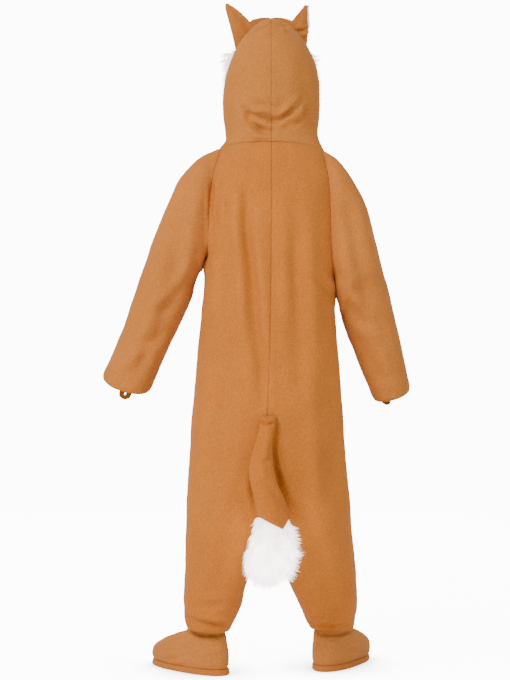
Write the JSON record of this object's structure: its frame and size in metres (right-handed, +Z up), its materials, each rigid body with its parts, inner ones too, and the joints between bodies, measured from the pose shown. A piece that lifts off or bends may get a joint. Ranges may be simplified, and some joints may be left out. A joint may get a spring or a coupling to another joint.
{
  "type": "fox costume",
  "caption": "Child's hooded fox jumpsuit in brushed tan cloth with ears, raglan sleeves, a padded tail with a white fur tip and boot covers, in its worn shape.",
  "frame": {"origin": "where the wearer's shoulders and neck hold the costume, 1.045 m above the floor that its soles stand on, on the middle plane of the body", "axes": "+Z up, the front faces -Y, +X towards the wearer's left"},
  "size_m": [0.6239, 0.4213, 1.344],
  "materials": {
    "body_cloth": "tan-orange brushed polyester felt",
    "sleeve_cloth": "tan-orange brushed polyester felt",
    "hood_cloth": "tan-orange brushed polyester felt",
    "brim_cloth": "tan-orange brushed felt, darker in shade",
    "white_fur": "white long-pile faux fur",
    "white_cloth": "white brushed cloth",
    "tail_cloth": "tan-orange brushed felt, padded",
    "boot_cloth": "tan-orange brushed felt",
    "sole_cloth": "tan-orange cloth over a foam sole",
    "loop_band": "brown elastic band"
  },
  "bodies": {
    "root": {"back_left": "body_cloth", "back_right": "body_cloth", "front_left": "body_cloth", "front_right": "body_cloth", "sleeve_left": "sleeve_cloth", "sleeve_right": "sleeve_cloth", "hood_left": "hood_cloth", "hood_right": "hood_cloth", "hood_brim": "brim_cloth", "cheek_fur_left": "white_fur", "cheek_fur_right": "white_fur", "ear_left": "hood_cloth", "ear_right": "hood_cloth", "ear_front_left": "white_cloth", "ear_front_right": "white_cloth", "tail": "tail_cloth", "tail_tip": "white_fur", "boot_left": "boot_cloth", "boot_right": "boot_cloth", "sole_left": "sole_cloth", "sole_right": "sole_cloth", "cuff_loop_left": "loop_band", "cuff_loop_right": "loop_band"}
  },
  "joints": []
}
